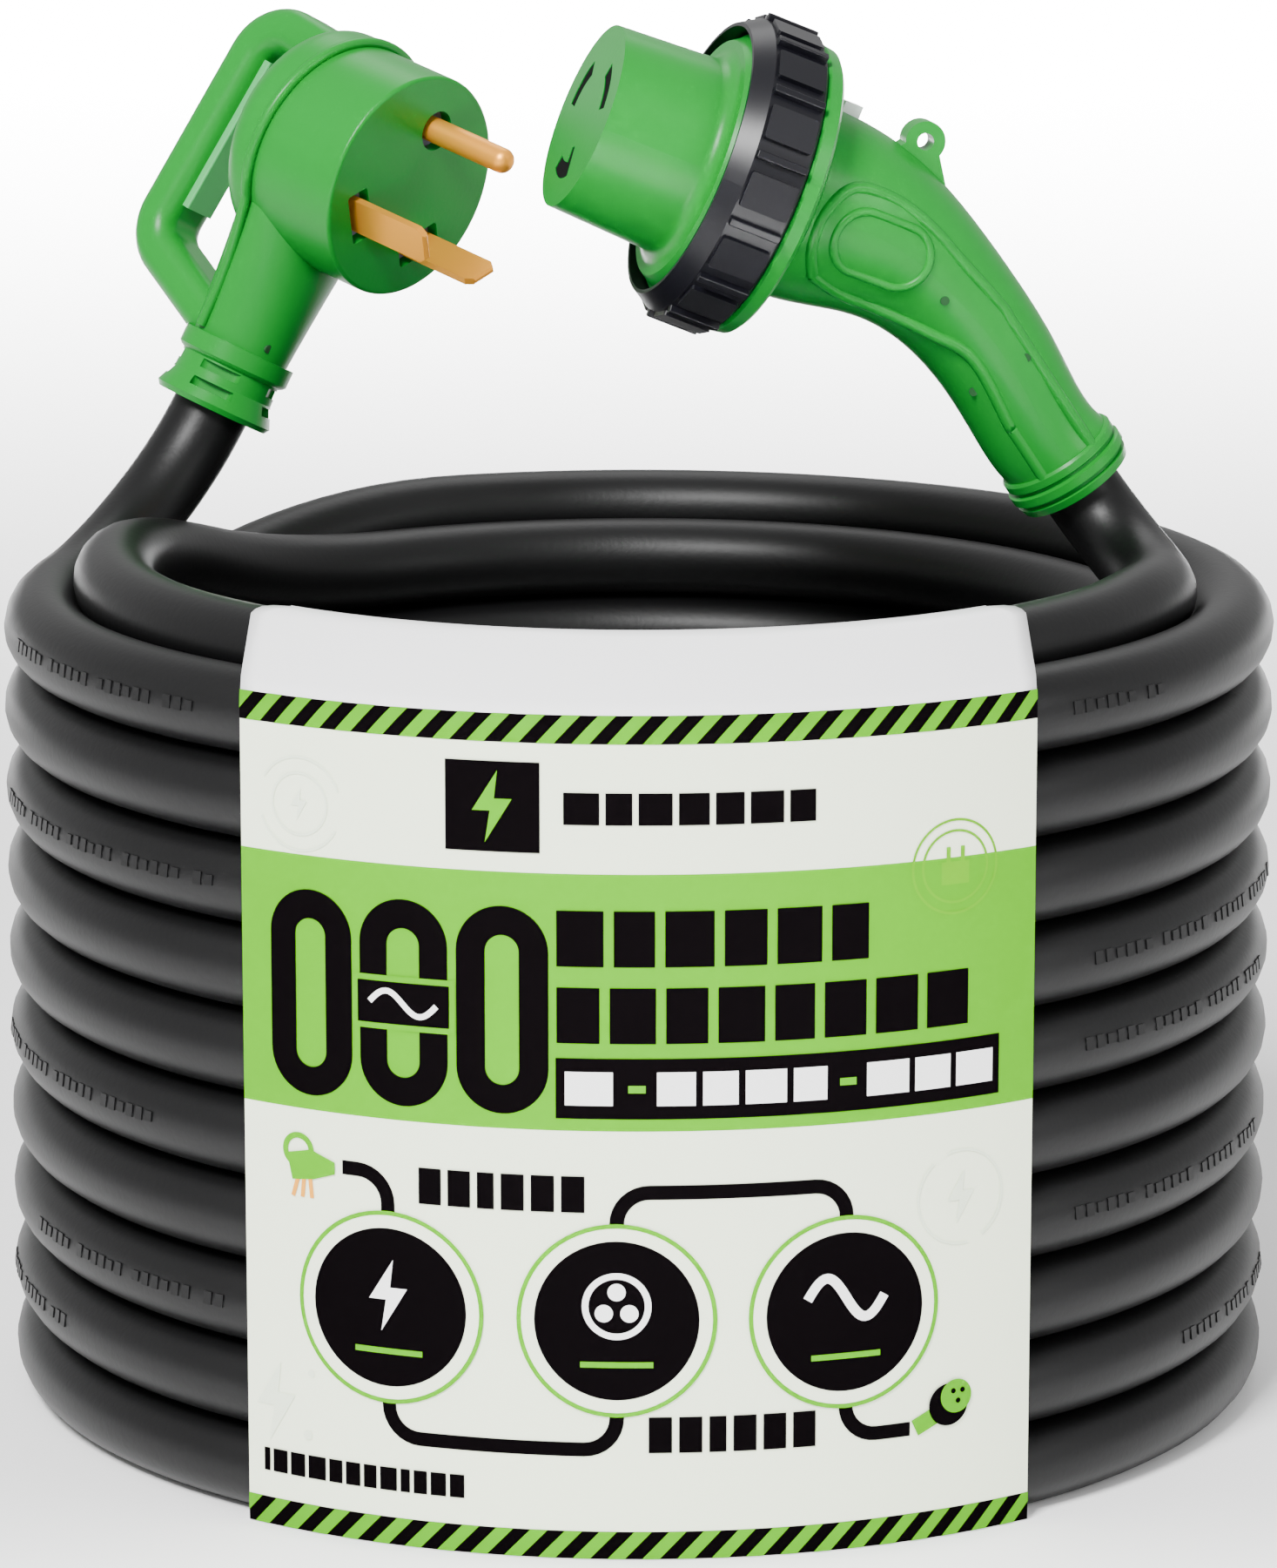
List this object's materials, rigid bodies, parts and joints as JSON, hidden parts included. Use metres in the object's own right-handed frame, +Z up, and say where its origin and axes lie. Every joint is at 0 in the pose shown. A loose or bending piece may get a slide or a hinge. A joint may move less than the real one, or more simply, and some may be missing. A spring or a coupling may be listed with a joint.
{
  "type": "rv shore power cord",
  "caption": "Coiled shore power cord with a handled bent plug at one end and a bent twist-lock connector with a locking ring at the other, bound by a printed card sleeve.",
  "frame": {"origin": "middle of the coil on the plane it rests on", "axes": "+Z up along the coil's axis, -Y towards the printed front of the sleeve, +X to the side the connector's cord leaves from"},
  "size_m": [0.2688, 0.2697, 0.2922],
  "materials": {
    "cord_jacket": "satin",
    "label_board": "semi-gloss coated paper board",
    "ring_plastic": "gloss",
    "seal_rubber": "matte",
    "contact_brass": "bright",
    "wire_black": "satin",
    "wire_white": "satin",
    "wire_green": "satin",
    "clamp_steel": "satin",
    "insulator_grey": "matte",
    "lens_clear": "clear",
    "board_green": "matte",
    "liner_green": "satin",
    "head_green": "satin"
  },
  "bodies": {
    "cord_set": {"blade_carrier": "insulator_grey", "connector_cord_clamp": "clamp_steel", "connector_cord_end": "cord_jacket", "connector_end_collar": "head_green", "connector_ground_contact": "contact_brass", "connector_ground_wire": "wire_green", "connector_handle": "head_green", "connector_hot_contact": "contact_brass", "connector_hot_wire": "wire_black", "connector_neutral_contact": "contact_brass", "connector_neutral_wire": "wire_white", "connector_nose": "head_green", "contact_block": "insulator_grey", "cord_coil": "cord_jacket", "cord_lead_connector": "cord_jacket", "cord_lead_plug": "cord_jacket", "front_flange": "head_green", "ground_pin": "contact_brass", "hot_blade": "contact_brass", "label_sleeve": "label_board", "led_board": "board_green", "led_lens": "lens_clear", "neutral_blade": "contact_brass", "plug_back_shell": "head_green", "plug_cord_clamp": "clamp_steel", "plug_cord_end": "cord_jacket", "plug_ground_crimp": "contact_brass", "plug_ground_wire": "wire_green", "plug_handle": "head_green", "plug_handle_liner": "liner_green", "plug_hot_crimp": "contact_brass", "plug_hot_wire": "wire_black", "plug_neutral_crimp": "contact_brass", "plug_neutral_wire": "wire_white", "plug_nose": "head_green", "plug_strain_relief": "head_green", "seal_ring": "seal_rubber", "terminal_screws": "clamp_steel"},
    "locking_ring": {"locking_ring": "ring_plastic"}
  },
  "joints": [
    {"name": "ring_spin", "type": "hinge", "parent": "cord_set", "child": "locking_ring", "pos_m": [0.01799, -0.0076, 0.26005], "axis": [-0.9011, -0.2051, 0.3821], "continuous": true}
  ]
}
